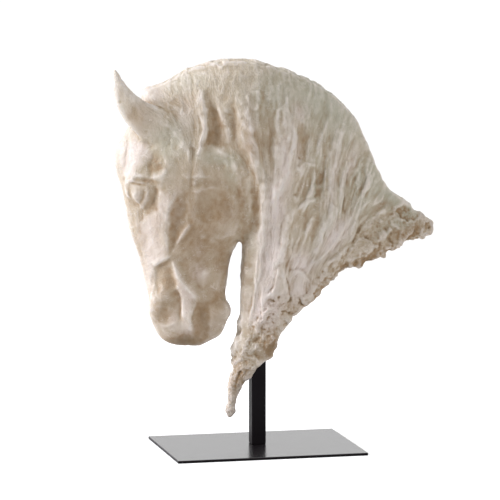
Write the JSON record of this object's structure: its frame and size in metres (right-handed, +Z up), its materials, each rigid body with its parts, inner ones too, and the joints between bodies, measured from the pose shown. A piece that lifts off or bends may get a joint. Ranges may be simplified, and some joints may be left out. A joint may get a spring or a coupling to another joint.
{
  "type": "horse head sculpture",
  "caption": "Cast resin horse's head looking down, its neck ending in a ragged break, held on a square black steel post over a thin rectangular steel plate.",
  "frame": {"origin": "centre of the base plate's underside", "axes": "+Z up; X along the plate's long side, the horse looks towards -X; the side shown in the picture faces -Y"},
  "size_m": [0.5753, 0.258, 0.6886],
  "materials": {
    "ivory_resin": "satin, slightly translucent, with a brown wash in the hollows",
    "black_post": "satin black steel",
    "black_plate": "smooth black steel with soft reflections"
  },
  "bodies": {
    "root": {"horse_head": "ivory_resin", "post": "black_post", "base_plate": "black_plate"}
  },
  "joints": []
}
